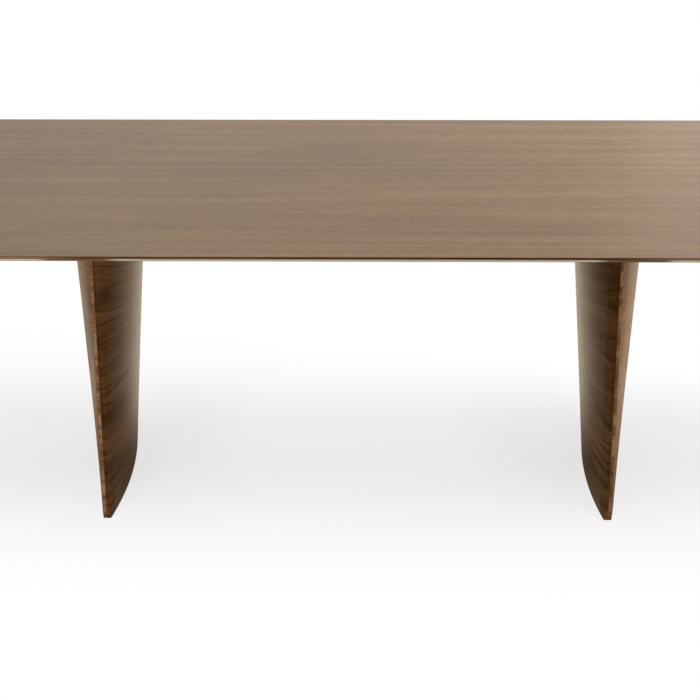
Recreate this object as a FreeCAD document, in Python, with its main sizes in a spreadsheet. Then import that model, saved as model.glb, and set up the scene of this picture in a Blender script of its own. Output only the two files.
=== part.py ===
import FreeCAD, Part
import Sketcher
import math
import os
import re

# A dining table: a thin-edged veneered top on two upright legs of lens-shaped plan.
# X runs along the top, Y across it and Z up. The origin is on the floor under the middle of the top.
# Each leg is a pair of bent plywood shells that meet at a solid nose front and rear, with ribs inside.
# A steel plate let into the underside of the top carries each leg, and each leg stands on two glides.

SIZES = (
    ("top_length", 2400, "top along X"),
    ("top_width", 1050, "top along Y"),
    ("table_height", 750, "floor to the upper face"),
    ("top_thickness", 28, "top with both veneers"),
    ("veneer_thickness", 0.6, "face and underside veneers"),
    ("edge_height", 5, "upright face of the edge, veneer included"),
    ("bevel_width", 48, "how far the bevel under the edge runs in"),
    ("lipping_land", 4, "flat strip of lipping inside the bevel"),
    ("tongue_thickness", 8, "tongue of the core in the lippings"),
    ("tongue_depth", 10, "how far the tongue enters the lippings"),
    ("joint_clearance", 0.1, "room round tongues and screws"),
    ("leg_spacing", 1197, "between the middles of the legs"),
    ("leg_top_length", 730, "leg along Y at the top"),
    ("leg_top_width", 168, "leg along X at the top"),
    ("leg_foot_length", 602, "leg along Y at the foot"),
    ("leg_foot_width", 70, "leg along X at the foot"),
    ("nose_top_width", 13, "front of each nose along X at the top"),
    ("nose_foot_width", 18, "front of each nose along X at the foot"),
    ("nose_depth", 40, "each nose along Y"),
    ("nose_round", 2.5, "rounded front arrises of the noses"),
    ("shell_thickness", 10, "bent plywood shells"),
    ("glue_gap", 0.2, "glue line round the ribs"),
    ("top_rib_thickness", 24, "rib under the plate"),
    ("middle_rib_thickness", 18, "rib at half height"),
    ("middle_rib_height", 360, "floor to the middle rib"),
    ("base_rib_thickness", 40, "rib that holds the glides"),
    ("plate_length", 420, "steel plate along Y"),
    ("plate_width", 270, "steel plate along X"),
    ("plate_thickness", 6, "steel plate"),
    ("plate_corner", 12, "corner radius of the plate"),
    ("recess_clearance", 0.3, "room round the plate and the stiffeners"),
    ("bolt_reach", 112, "bolts from the middle of the leg along X"),
    ("bolt_pitch", 150, "between bolts along Y"),
    ("bolt_diameter", 8, "bolts that hold the plate"),
    ("bolt_length", 18, "bolts under the head"),
    ("bolt_head_diameter", 14, "bolt heads"),
    ("bolt_head_height", 4.4, "bolt heads"),
    ("bolt_head_bevel", 1.4, "sloping rim of the bolt heads"),
    ("bolt_hole_diameter", 9, "bolt holes in the plate"),
    ("bolt_key", 5, "hexagon socket of the bolts across its flats"),
    ("bolt_key_depth", 2.6, "hexagon socket of the bolts"),
    ("insert_diameter", 12, "threaded inserts in the top"),
    ("insert_length", 14, "threaded inserts in the top"),
    ("insert_end_room", 1, "depth of the hole past an insert"),
    ("fit_clearance", 0.05, "radial room of threads and inserts"),
    ("screw_reach", 35, "leg screws from the middle of the leg along X"),
    ("screw_pitch", 130, "between leg screws along Y"),
    ("screw_diameter", 6, "leg screws"),
    ("screw_head_diameter", 12, "countersunk heads of the leg screws"),
    ("screw_length", 26, "leg screws with their heads"),
    ("screw_point", 4, "point of the leg screws"),
    ("stiffener_side_inset", 120, "middles of the stiffeners in from the long edges"),
    ("stiffener_end_inset", 200, "ends of the stiffeners in from the short edges"),
    ("stiffener_width", 40, "stiffeners along Y"),
    ("stiffener_height", 14, "stiffeners"),
    ("stiffener_wall", 2.5, "wall of the stiffeners"),
    ("stiffener_screw_inset", 120, "first stiffener screw in from the end of its stiffener"),
    ("stiffener_screw_diameter", 4.5, "stiffener screws"),
    ("stiffener_screw_length", 11, "stiffener screws under the head"),
    ("stiffener_screw_head", 9, "heads of the stiffener screws"),
    ("stiffener_screw_head_height", 3, "heads of the stiffener screws"),
    ("glide_reach", 200, "glides from the middle of the leg along Y"),
    ("seat_gap", 0.3, "room between a glide that is screwed in and its leg"),
    ("pad_diameter", 28, "foot of a glide"),
    ("pad_thickness", 3, "foot of a glide"),
    ("pad_bevel", 0.8, "bevelled rim of the foot"),
    ("hub_diameter", 16, "hub on the foot of a glide"),
    ("hub_height", 6, "hub above the foot"),
    ("hub_room", 0.6, "radial room round the hub"),
    ("key_hole_diameter", 6.5, "hole through the foot for the key"),
    ("stem_diameter", 8, "threaded stem of a glide"),
    ("stem_length", 34, "threaded stem above its collar"),
    ("stem_end_bevel", 1, "bevelled end of the stem"),
    ("collar_diameter", 11, "collar that holds the stem in the hub"),
    ("collar_height", 2.5, "collar of the stem"),
    ("collar_play", 0.1, "room above and below the collar"),
    ("stem_key", 4, "hexagon socket of the stem across its flats"),
    ("stem_key_depth", 4, "hexagon socket of the stem"),
    ("sleeve_diameter", 13, "threaded sleeve of a glide"),
    ("sleeve_length", 22, "threaded sleeve of a glide"),
)

doc = FreeCAD.newDocument("lens_leg_table")
sizes = doc.addObject("Spreadsheet::Sheet", "sizes")
for row, (alias, value, meaning) in enumerate(SIZES, start=1):
    sizes.set(f"A{row}", meaning)
    sizes.set(f"B{row}", str(value))
    sizes.setAlias(f"B{row}", alias)
doc.recompute()

ALIAS_WORDS = re.compile(r"\b(" + "|".join(alias for alias, value, meaning in SIZES) + r")\b")

# Formulas that several pieces share, in the words of the sheet.
UNDERSIDE = "(table_height - top_thickness)"
CORE_BOTTOM = f"({UNDERSIDE} + veneer_thickness)"
CORE_TOP = "(table_height - veneer_thickness)"
CORE_MIDDLE = f"(({CORE_BOTTOM} + {CORE_TOP})/2)"
LIPPING_WIDTH = "(bevel_width + lipping_land)"
CORE_LENGTH = f"(top_length - 2*{LIPPING_WIDTH})"
CORE_WIDTH = f"(top_width - 2*{LIPPING_WIDTH})"
RECESS_ROOF = f"({UNDERSIDE} + plate_thickness + recess_clearance)"
GROOVE_ROOF = f"({UNDERSIDE} + stiffener_height + recess_clearance)"
STIFFENER_LENGTH = "(top_length - 2*stiffener_end_inset)"
STIFFENER_REACH = "(top_width/2 - stiffener_side_inset)"
STIFFENER_SCREW_REACH = f"({STIFFENER_LENGTH}/2 - stiffener_screw_inset)"
FOOT_LEVEL = "(pad_thickness + seat_gap)"
HUB_TOP = "(pad_thickness + hub_height)"
SLEEVE_BOTTOM = f"({HUB_TOP} + seat_gap)"
COLLAR_FLOOR = "(pad_thickness - collar_play)"
COLLAR_ROOF = "(pad_thickness + collar_height + collar_play)"

# The two plan sections that each leg is lofted between.
LEVEL_HEIGHT = {"foot": FOOT_LEVEL, "top": UNDERSIDE}
HALF_LENGTH = {"foot": "(leg_foot_length/2)", "top": "(leg_top_length/2)"}
HALF_WIDTH = {"foot": "(leg_foot_width/2)", "top": "(leg_top_width/2)"}
NOSE_WIDTH = {"foot": "nose_foot_width", "top": "nose_top_width"}
BULGE = {level: f"({HALF_WIDTH[level]} - {NOSE_WIDTH[level]}/2)" for level in LEVEL_HEIGHT}
ARC_RADIUS = {
    level: f"(({HALF_LENGTH[level]}^2 + {BULGE[level]}^2)/(2*{BULGE[level]}))"
    for level in LEVEL_HEIGHT
}

SIDES = (("left", -1), ("right", 1))
ENDS = (("front", -1), ("rear", 1))
ROWS_OF_THREE = tuple(range(-1, 2))
ROWS_OF_FIVE = tuple(range(-2, 3))

# How the sketcher numbers its axis lines, the points of a line or arc, and the origin.
X_AXIS_LINE, Y_AXIS_LINE = -1, -2
START, END, CENTRE = range(1, 4)
ORIGIN_POINT = (X_AXIS_LINE, START)

# Lengths closer than this are the same length.
SAME_LENGTH = 1e-6

nodes = []


# Formulas and bindings

def formula(text):
    return ALIAS_WORDS.sub(r"sizes.\1", text)


def number(text):
    return float(sizes.evalExpression(formula(text)))


def bind(item, prop, text):
    item.setExpression(prop, formula(text))


def place(item, x="0", y="0", z="0", turn=0):
    item.Placement = FreeCAD.Placement(FreeCAD.Vector(), FreeCAD.Rotation(FreeCAD.Vector(0, 0, 1), turn))
    for axis, text in (("x", x), ("y", y), ("z", z)):
        bind(item, f"Placement.Base.{axis}", text)


def keep(item, label):
    item.Label = label
    nodes.append(item)


def leg_place(item, side, turn=0):
    place(item, x=f"{side}*leg_spacing/2", turn=turn)


# Sketches

def new_body(label):
    body = doc.addObject("PartDesign::Body", label)
    keep(body, label)
    return body


def origin_feature(body, role):
    return next(feature for feature in body.Origin.OriginFeatures if feature.Role == role)


def add_sketch(body, name, plane, x="0", y="0", z="0"):
    sketch = body.newObject("Sketcher::SketchObject", f"{body.Name}_{name}")
    sketch.AttachmentSupport = [(origin_feature(body, plane), "")]
    sketch.MapMode = "FlatFace"
    for axis, text in (("x", x), ("y", y), ("z", z)):
        bind(sketch, f"AttachmentOffset.Base.{axis}", text)
    return sketch


def constrain(sketch, kind, *values, text=None):
    index = sketch.addConstraint(Sketcher.Constraint(kind, *values))
    if text:
        bind(sketch, f"Constraints[{index}]", text)


def hold(sketch, geometry, point, kind, text):
    """Fix one coordinate of a sketch point at the value of a formula."""
    value = number(text)
    axis_line = Y_AXIS_LINE if kind == "DistanceX" else X_AXIS_LINE
    if abs(value) < SAME_LENGTH:
        constrain(sketch, "PointOnObject", geometry, point, axis_line)
    elif value > 0:
        constrain(sketch, kind, *ORIGIN_POINT, geometry, point, value, text=text)
    else:
        constrain(sketch, kind, geometry, point, *ORIGIN_POINT, -value, text=f"-({text})")


def hold_point(sketch, geometry, point, x, y):
    hold(sketch, geometry, point, "DistanceX", x)
    hold(sketch, geometry, point, "DistanceY", y)


def polygon(sketch, corners):
    """Draw a closed outline whose corners are pairs of formulas."""
    points = [FreeCAD.Vector(number(x), number(y), 0) for x, y in corners]
    first = sketch.GeometryCount
    count = len(points)
    for index in range(count):
        sketch.addGeometry(Part.LineSegment(points[index], points[(index + 1) % count]))
    for index in range(count):
        constrain(sketch, "Coincident", first + index, END, first + (index + 1) % count, START)
    for index, (x, y) in enumerate(corners):
        hold_point(sketch, first + index, START, x, y)


def rectangle(sketch, x, y, length, width):
    left, right = f"({x} - {length}/2)", f"({x} + {length}/2)"
    front, rear = f"({y} - {width}/2)", f"({y} + {width}/2)"
    polygon(sketch, ((left, front), (right, front), (right, rear), (left, rear)))


def hexagon(sketch, across_flats):
    corner = f"({across_flats}/sqrt(3))"
    turns = [index * math.pi / 3 for index in range(6)]
    waves = [(math.cos(turn), math.sin(turn)) for turn in turns]
    polygon(sketch, [(f"{corner}*{x:.9f}", f"{corner}*{y:.9f}") for x, y in waves])


def circle(sketch, x, y, diameter):
    middle = FreeCAD.Vector(number(x), number(y), 0)
    size = number(diameter)
    geometry = sketch.addGeometry(Part.Circle(middle, FreeCAD.Vector(0, 0, 1), size / 2))
    hold_point(sketch, geometry, CENTRE, x, y)
    constrain(sketch, "Diameter", geometry, size, text=diameter)


def arc(sketch, centre_x, centre_y, radius, start_turn, end_turn):
    round_line = Part.Circle(FreeCAD.Vector(centre_x, centre_y, 0), FreeCAD.Vector(0, 0, 1), radius)
    return sketch.addGeometry(Part.ArcOfCircle(round_line, start_turn, end_turn))


def end_line(sketch, from_geometry, from_point, to_geometry, to_point):
    """Join two arc ends by a line along X."""
    start = sketch.getPoint(from_geometry, from_point)
    stop = sketch.getPoint(to_geometry, to_point)
    line = sketch.addGeometry(Part.LineSegment(start, stop))
    constrain(sketch, "Coincident", from_geometry, from_point, line, START)
    constrain(sketch, "Coincident", to_geometry, to_point, line, END)
    constrain(sketch, "Horizontal", line)


def crescent(sketch, level):
    """Draw the plan section of one shell: two arcs about one centre between the noses."""
    outer, middle = ARC_RADIUS[level], f"({ARC_RADIUS[level]} - {HALF_WIDTH[level]})"
    inner = f"({outer} - shell_thickness)"
    reach = f"({HALF_LENGTH[level]} - nose_depth)"
    arcs = []
    for radius in (outer, inner):
        half_turn = math.asin(number(reach) / number(radius))
        arcs.append(arc(sketch, -number(middle), 0, number(radius), -half_turn, half_turn))
    outer_arc, inner_arc = arcs
    constrain(sketch, "Coincident", outer_arc, CENTRE, inner_arc, CENTRE)
    hold_point(sketch, outer_arc, CENTRE, f"-{middle}", "0")
    constrain(sketch, "Radius", outer_arc, number(outer), text=outer)
    constrain(sketch, "Radius", inner_arc, number(inner), text=inner)
    hold(sketch, outer_arc, START, "DistanceY", f"-{reach}")
    hold(sketch, outer_arc, END, "DistanceY", reach)
    end_line(sketch, inner_arc, START, outer_arc, START)
    end_line(sketch, inner_arc, END, outer_arc, END)


def lens_slice(sketch, level, inset, front, rear):
    """Draw the lens section, drawn in by an inset, between two places along Y."""
    radius, middle = f"({ARC_RADIUS[level]} - {inset})", f"({ARC_RADIUS[level]} - {HALF_WIDTH[level]})"
    size, offset = number(radius), number(middle)
    front_turn, rear_turn = math.asin(number(front) / size), math.asin(number(rear) / size)
    right = arc(sketch, -offset, 0, size, front_turn, rear_turn)
    left = arc(sketch, offset, 0, size, math.pi - rear_turn, math.pi - front_turn)
    hold_point(sketch, right, CENTRE, f"-{middle}", "0")
    hold_point(sketch, left, CENTRE, middle, "0")
    constrain(sketch, "Radius", right, size, text=radius)
    constrain(sketch, "Equal", right, left)
    hold(sketch, right, START, "DistanceY", front)
    hold(sketch, right, END, "DistanceY", rear)
    end_line(sketch, left, END, right, START)
    end_line(sketch, right, END, left, START)


def nose_section(sketch, level):
    """Draw the plan section of a nose: a flat front, round arrises and sides that carry on the shells."""
    radius, middle = ARC_RADIUS[level], f"({ARC_RADIUS[level]} - {HALF_WIDTH[level]})"
    front, rear = f"(-{HALF_LENGTH[level]})", f"(nose_depth - {HALF_LENGTH[level]})"
    size, offset, arris = number(radius), number(middle), number("nose_round")
    arris_y = number(front) + arris
    arris_x = math.sqrt((size - arris) ** 2 - arris_y ** 2) - offset
    meet_turn = math.atan2(arris_y, arris_x + offset)
    rear_turn = math.asin(number(rear) / size)
    right_side = arc(sketch, -offset, 0, size, meet_turn, rear_turn)
    left_side = arc(sketch, offset, 0, size, math.pi - rear_turn, math.pi - meet_turn)
    right_arris = arc(sketch, arris_x, arris_y, arris, -math.pi / 2, meet_turn)
    left_arris = arc(sketch, -arris_x, arris_y, arris, math.pi - meet_turn, 3 * math.pi / 2)
    ends = [FreeCAD.Vector(x, number(front), 0) for x in (-arris_x, arris_x)]
    front_line = sketch.addGeometry(Part.LineSegment(*ends))
    constrain(sketch, "Tangent", left_side, END, left_arris, START)
    constrain(sketch, "Tangent", left_arris, END, front_line, START)
    constrain(sketch, "Tangent", front_line, END, right_arris, START)
    constrain(sketch, "Tangent", right_arris, END, right_side, START)
    hold_point(sketch, right_side, CENTRE, f"-{middle}", "0")
    hold_point(sketch, left_side, CENTRE, middle, "0")
    constrain(sketch, "Radius", right_side, size, text=radius)
    constrain(sketch, "Equal", right_side, left_side)
    constrain(sketch, "Radius", right_arris, arris, text="nose_round")
    constrain(sketch, "Equal", right_arris, left_arris)
    constrain(sketch, "Horizontal", front_line)
    hold(sketch, front_line, START, "DistanceY", front)
    hold(sketch, right_side, END, "DistanceY", rear)
    end_line(sketch, right_side, END, left_side, START)


# Features

def pad(body, sketch, length, both_ways=False):
    feature = body.newObject("PartDesign::Pad", f"{sketch.Name}_pad")
    feature.Profile = sketch
    if both_ways:
        feature.SideType = "Symmetric"
    bind(feature, "Length", length)
    return feature


def pocket_up(body, sketch, depth):
    """Cut a sketch upwards from its plane, and make sure that it met the solid."""
    before = body.Tip.Shape.Volume
    feature = body.newObject("PartDesign::Pocket", f"{sketch.Name}_pocket")
    feature.Profile = sketch
    feature.Reversed = True
    bind(feature, "Length", depth)
    doc.recompute()
    if feature.Shape.Volume >= before:
        raise RuntimeError(f"{feature.Name} cuts nothing")
    return feature


def revolve(body, sketch):
    feature = body.newObject("PartDesign::Revolution", f"{sketch.Name}_turned")
    feature.Profile = sketch
    feature.ReferenceAxis = (sketch, ["V_Axis"])
    doc.recompute()
    return feature


def repeat(body, x_count, x_reach, y_count, y_reach):
    """Repeat the whole body in a grid, from one corner of it along X and Y."""
    grid = body.newObject("PartDesign::LinearPattern", f"{body.Name}_grid")
    grid.TransformMode = "Whole shape"
    grid.Direction = (origin_feature(body, "X_Axis"), [""])
    grid.Occurrences = x_count
    bind(grid, "Length", x_reach)
    grid.Direction2 = (origin_feature(body, "Y_Axis"), [""])
    grid.Occurrences2 = y_count
    bind(grid, "Length2", y_reach)
    body.Tip = grid


def leg_loft(body, draw):
    """Loft a piece of the leg along straight lines from its foot section to its top section."""
    sketches = []
    for level, height in LEVEL_HEIGHT.items():
        sketch = add_sketch(body, level, "XY_Plane", z=height)
        draw(sketch, level)
        sketches.append(sketch)
    loft = body.newObject("PartDesign::AdditiveLoft", f"{body.Name}_loft")
    loft.Profile = sketches[0]
    loft.Sections = sketches[1:]
    loft.Ruled = True
    doc.recompute()
    return loft


def bored_cylinder(name, x, y, bottom, diameter, height):
    cylinder = doc.addObject("Part::Cylinder", name)
    bind(cylinder, "Radius", f"{diameter}/2")
    bind(cylinder, "Height", height)
    place(cylinder, x, y, bottom)
    return cylinder


# Top

def make_core():
    """Board of the top, with a tongue all round and the recesses for the steel let into its underside."""
    body = new_body("top_core")
    board = add_sketch(body, "board", "XY_Plane", z=CORE_BOTTOM)
    rectangle(board, "0", "0", CORE_LENGTH, CORE_WIDTH)
    pad(body, board, f"{CORE_TOP} - {CORE_BOTTOM}")
    tongue = add_sketch(body, "tongue", "XY_Plane", z=f"{CORE_MIDDLE} - tongue_thickness/2")
    rectangle(tongue, "0", "0", f"({CORE_LENGTH} + 2*tongue_depth)", f"({CORE_WIDTH} + 2*tongue_depth)")
    pad(body, tongue, "tongue_thickness")
    doc.recompute()

    recesses = add_sketch(body, "plate_recesses", "XY_Plane", z=CORE_BOTTOM)
    steel_outlines(recesses, plates=True)
    pocket_up(body, recesses, f"{RECESS_ROOF} - {CORE_BOTTOM}")
    grooves = add_sketch(body, "stiffener_grooves", "XY_Plane", z=CORE_BOTTOM)
    steel_outlines(grooves, stiffeners=True)
    pocket_up(body, grooves, f"{GROOVE_ROOF} - {CORE_BOTTOM}")

    insert_holes = add_sketch(body, "insert_holes", "XY_Plane", z=RECESS_ROOF)
    for leg_name, side in SIDES:
        for column in (-1, 1):
            for line in ROWS_OF_THREE:
                x = f"({side}*leg_spacing/2 + {column}*bolt_reach)"
                circle(insert_holes, x, f"{line}*bolt_pitch", "(insert_diameter + 2*fit_clearance)")
    pocket_up(body, insert_holes, "insert_length + insert_end_room")
    pilot_holes = add_sketch(body, "pilot_holes", "XY_Plane", z=GROOVE_ROOF)
    for end_name, end in ENDS:
        for line in ROWS_OF_FIVE:
            circle(pilot_holes, stiffener_screw_x(line), f"{end}*{STIFFENER_REACH}",
                   "(stiffener_screw_diameter + 2*fit_clearance)")
    pocket_up(body, pilot_holes, "stiffener_screw_length")


def steel_outlines(sketch, plates=False, stiffeners=False):
    """Outline the room that the plates or the stiffeners take up in the underside."""
    if plates:
        length, width = "(plate_width + 2*recess_clearance)", "(plate_length + 2*recess_clearance)"
        for leg_name, side in SIDES:
            middle = f"({side}*leg_spacing/2)"
            rounded_rectangle(sketch, middle, length, width, "(plate_corner + recess_clearance)")
    if stiffeners:
        length = f"({STIFFENER_LENGTH} + 2*recess_clearance)"
        width = "(stiffener_width + 2*recess_clearance)"
        for end_name, end in ENDS:
            rectangle(sketch, "0", f"({end}*{STIFFENER_REACH})", length, width)


def rounded_rectangle(sketch, x, length, width, radius):
    """Draw a rectangle with round corners whose middle lies on the X axis."""
    left, right = f"({x} - {length}/2)", f"({x} + {length}/2)"
    front, rear = f"(-{width}/2)", f"({width}/2)"
    size = number(radius)
    low = FreeCAD.Vector(number(left), number(front), 0)
    high = FreeCAD.Vector(number(right), number(rear), 0)
    runs = (
        ((low.x + size, low.y), (high.x - size, low.y)),
        ((high.x, low.y + size), (high.x, high.y - size)),
        ((high.x - size, high.y), (low.x + size, high.y)),
        ((low.x, high.y - size), (low.x, low.y + size)),
    )
    lines = []
    for start, stop in runs:
        side = Part.LineSegment(FreeCAD.Vector(*start, 0), FreeCAD.Vector(*stop, 0))
        lines.append(sketch.addGeometry(side))
    middles = (
        (high.x - size, low.y + size),
        (high.x - size, high.y - size),
        (low.x + size, high.y - size),
        (low.x + size, low.y + size),
    )
    corners = []
    for index, middle in enumerate(middles):
        round_line = Part.Circle(FreeCAD.Vector(*middle, 0), FreeCAD.Vector(0, 0, 1), size)
        start_turn = (index - 1) * math.pi / 2
        corner = Part.ArcOfCircle(round_line, start_turn, start_turn + math.pi / 2)
        corners.append(sketch.addGeometry(corner))
    for index, corner in enumerate(corners):
        constrain(sketch, "Tangent", lines[index], END, corner, START)
        constrain(sketch, "Tangent", corner, END, lines[(index + 1) % len(lines)], START)
    for index in (0, 2):
        constrain(sketch, "Horizontal", lines[index])
        constrain(sketch, "Vertical", lines[index + 1])
    for corner in corners[1:]:
        constrain(sketch, "Equal", corners[0], corner)
    constrain(sketch, "Radius", corners[0], size, text=radius)
    hold(sketch, lines[0], START, "DistanceY", front)
    hold(sketch, lines[1], START, "DistanceX", right)
    hold(sketch, lines[2], START, "DistanceY", rear)
    hold(sketch, lines[3], START, "DistanceX", left)


def make_veneers():
    """Veneer over the whole upper face, and a backing veneer between the bevels that clears the steel."""
    face = new_body("top_face_veneer")
    outline = add_sketch(face, "outline", "XY_Plane", z=CORE_TOP)
    rectangle(outline, "0", "0", "top_length", "top_width")
    pad(face, outline, "veneer_thickness")

    back = new_body("underside_veneer")
    outline = add_sketch(back, "outline", "XY_Plane", z=UNDERSIDE)
    rectangle(outline, "0", "0", "(top_length - 2*bevel_width)", "(top_width - 2*bevel_width)")
    steel_outlines(outline, plates=True, stiffeners=True)
    pad(back, outline, "veneer_thickness")


def make_lipping(label, length, half_span, turn):
    """Solid edge with a thin upright face and a wide bevel below, grooved for the tongue and mitred."""
    body = new_body(label)
    outer, inner = f"(-{half_span})", f"({LIPPING_WIDTH} - {half_span})"
    groove_end = f"({inner} - tongue_depth - joint_clearance)"
    groove_low = f"({CORE_MIDDLE} - tongue_thickness/2 - joint_clearance)"
    groove_high = f"({CORE_MIDDLE} + tongue_thickness/2 + joint_clearance)"
    profile = add_sketch(body, "profile", "YZ_Plane")
    polygon(profile, (
        (outer, CORE_TOP),
        (outer, "(table_height - edge_height)"),
        (f"({outer} + bevel_width)", CORE_BOTTOM),
        (inner, CORE_BOTTOM),
        (inner, groove_low),
        (groove_end, groove_low),
        (groove_end, groove_high),
        (inner, groove_high),
        (inner, CORE_TOP),
    ))
    pad(body, profile, length, both_ways=True)
    doc.recompute()
    mitres = add_sketch(body, "mitres", "XY_Plane", z=UNDERSIDE)
    for side in (-1, 1):
        tip, heel = f"({side}*{length}/2)", f"({side}*({length}/2 - {LIPPING_WIDTH}))"
        polygon(mitres, ((tip, outer), (tip, inner), (heel, inner)))
    pocket_up(body, mitres, "top_thickness")
    place(body, turn=turn)


def make_lippings():
    make_lipping("front_lipping", "top_length", "top_width/2", 0)
    make_lipping("right_lipping", "top_width", "top_length/2", 90)
    make_lipping("rear_lipping", "top_length", "top_width/2", 180)
    make_lipping("left_lipping", "top_width", "top_length/2", 270)


def stiffener_screw_x(line):
    """Place along X of one of the rows of stiffener screws, which are evenly spaced."""
    return f"({line}*{STIFFENER_SCREW_REACH}/{max(ROWS_OF_FIVE)})"


def make_stiffener(label, end):
    """Steel channel let into the underside, open downwards, with a row of screw holes in its web."""
    body = new_body(label)
    half, wall = "stiffener_width/2", "stiffener_wall"
    top, web = f"({UNDERSIDE} + stiffener_height)", f"({UNDERSIDE} + stiffener_height - {wall})"
    profile = add_sketch(body, "profile", "YZ_Plane")
    polygon(profile, (
        (f"-{half}", UNDERSIDE),
        (f"-{half}", top),
        (half, top),
        (half, UNDERSIDE),
        (f"({half} - {wall})", UNDERSIDE),
        (f"({half} - {wall})", web),
        (f"({wall} - {half})", web),
        (f"({wall} - {half})", UNDERSIDE),
    ))
    pad(body, profile, STIFFENER_LENGTH, both_ways=True)
    doc.recompute()
    holes = add_sketch(body, "holes", "XY_Plane", z=web)
    for line in ROWS_OF_FIVE:
        circle(holes, stiffener_screw_x(line), "0", "(stiffener_screw_diameter + 2*joint_clearance)")
    pocket_up(body, holes, wall)
    place(body, y=f"{end}*{STIFFENER_REACH}")


def make_stiffener_screws():
    """Pan-headed screws that hold the stiffeners up into the core."""
    body = new_body("stiffener_screws")
    seat = f"({UNDERSIDE} + stiffener_height - stiffener_wall)"
    low, tip = f"({seat} - stiffener_screw_head_height)", f"({seat} + stiffener_screw_length)"
    head, shank = "stiffener_screw_head/2", "stiffener_screw_diameter/2"
    rim = "stiffener_screw_head_height/2"
    profile = add_sketch(body, "profile", "XZ_Plane", x=f"-{STIFFENER_SCREW_REACH}", z=STIFFENER_REACH)
    polygon(profile, (
        ("0", low),
        (f"({head} - {rim})", low),
        (head, f"({low} + {rim})"),
        (head, seat),
        (shank, seat),
        (shank, f"({tip} - {shank})"),
        ("0", tip),
    ))
    revolve(body, profile)
    repeat(body, len(ROWS_OF_FIVE), f"2*{STIFFENER_SCREW_REACH}", len(ENDS), f"2*{STIFFENER_REACH}")


# Fixing of a leg to the top

def make_plate(leg_name, side):
    """Steel plate let into the underside, drilled for its bolts and countersunk for the leg screws."""
    body = new_body(f"{leg_name}_mounting_plate")
    outline = add_sketch(body, "outline", "XY_Plane", z=UNDERSIDE)
    rounded_rectangle(outline, "0", "plate_width", "plate_length", "plate_corner")
    pad(body, outline, "plate_thickness")
    doc.recompute()
    holes = add_sketch(body, "holes", "XY_Plane", z=UNDERSIDE)
    screw_hole = "(screw_diameter + 2*joint_clearance)"
    for column in (-1, 1):
        for line in ROWS_OF_THREE:
            circle(holes, f"{column}*bolt_reach", f"{line}*bolt_pitch", "bolt_hole_diameter")
            circle(holes, f"{column}*screw_reach", f"{line}*screw_pitch", screw_hole)
    drilled = pocket_up(body, holes, "plate_thickness")
    plate_top, rim_diameter = number(f"{UNDERSIDE} + plate_thickness"), number(screw_hole)
    rims = []
    for index, edge in enumerate(drilled.Shape.Edges, start=1):
        at_top = abs(edge.BoundBox.ZMin - plate_top) < SAME_LENGTH
        is_round = isinstance(edge.Curve, Part.Circle)
        if at_top and is_round and abs(2 * edge.Curve.Radius - rim_diameter) < SAME_LENGTH:
            rims.append(f"Edge{index}")
    countersinks = body.newObject("PartDesign::Chamfer", f"{body.Name}_countersinks")
    countersinks.Base = (drilled, rims)
    bind(countersinks, "Size", "(screw_head_diameter - screw_diameter)/2")
    leg_place(body, side)


def make_bolts(leg_name, side):
    """Socket-headed bolts that pull the plate up against the top."""
    body = new_body(f"{leg_name}_mounting_bolts")
    low, head, bevel = f"({UNDERSIDE} - bolt_head_height)", "bolt_head_diameter/2", "bolt_head_bevel"
    shank, tip = "bolt_diameter/2", f"({UNDERSIDE} + bolt_length)"
    profile = add_sketch(body, "profile", "XZ_Plane", x="-bolt_reach", z="bolt_pitch")
    polygon(profile, (
        ("0", low),
        (f"({head} - {bevel})", low),
        (head, f"({low} + {bevel})"),
        (head, UNDERSIDE),
        (shank, UNDERSIDE),
        (shank, tip),
        ("0", tip),
    ))
    revolve(body, profile)
    socket = add_sketch(body, "socket", "XY_Plane", x="-bolt_reach", y="-bolt_pitch", z=low)
    hexagon(socket, "bolt_key")
    pocket_up(body, socket, "bolt_key_depth")
    repeat(body, 2, "2*bolt_reach", len(ROWS_OF_THREE), "2*bolt_pitch")
    leg_place(body, side)


def make_inserts(leg_name, side):
    """Threaded brass inserts in the core that take the bolts."""
    body = new_body(f"{leg_name}_threaded_inserts")
    bore, outer = "(bolt_diameter/2 + fit_clearance)", "insert_diameter/2"
    end = f"({RECESS_ROOF} + insert_length)"
    profile = add_sketch(body, "profile", "XZ_Plane", x="-bolt_reach", z="bolt_pitch")
    polygon(profile, ((bore, RECESS_ROOF), (outer, RECESS_ROOF), (outer, end), (bore, end)))
    revolve(body, profile)
    repeat(body, 2, "2*bolt_reach", len(ROWS_OF_THREE), "2*bolt_pitch")
    leg_place(body, side)


def make_leg_screws(leg_name, side):
    """Countersunk screws through the plate into the top rib of the leg."""
    body = new_body(f"{leg_name}_leg_screws")
    top, head, shank = f"({UNDERSIDE} + plate_thickness)", "screw_head_diameter/2", "screw_diameter/2"
    profile = add_sketch(body, "profile", "XZ_Plane", x="-screw_reach", z="screw_pitch")
    polygon(profile, (
        ("0", top),
        ("0", f"({top} - screw_length)"),
        (shank, f"({top} - screw_length + screw_point)"),
        (shank, f"({top} - {head} + {shank})"),
        (head, top),
    ))
    revolve(body, profile)
    repeat(body, 2, "2*screw_reach", len(ROWS_OF_THREE), "2*screw_pitch")
    leg_place(body, side)


# Leg

def make_shell(label, side, turn):
    body = new_body(label)
    leg_loft(body, crescent)
    leg_place(body, side, turn)


def make_nose(label, side, turn):
    body = new_body(label)
    leg_loft(body, nose_section)
    leg_place(body, side, turn)


def make_cavity():
    """Room inside a leg, between the shells and the noses, that the ribs are cut to."""
    body = doc.addObject("PartDesign::Body", "leg_cavity")

    def draw(sketch, level):
        reach = f"({HALF_LENGTH[level]} - nose_depth - glue_gap)"
        lens_slice(sketch, level, "(shell_thickness + glue_gap)", f"-{reach}", reach)

    leg_loft(body, draw)
    return body


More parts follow.
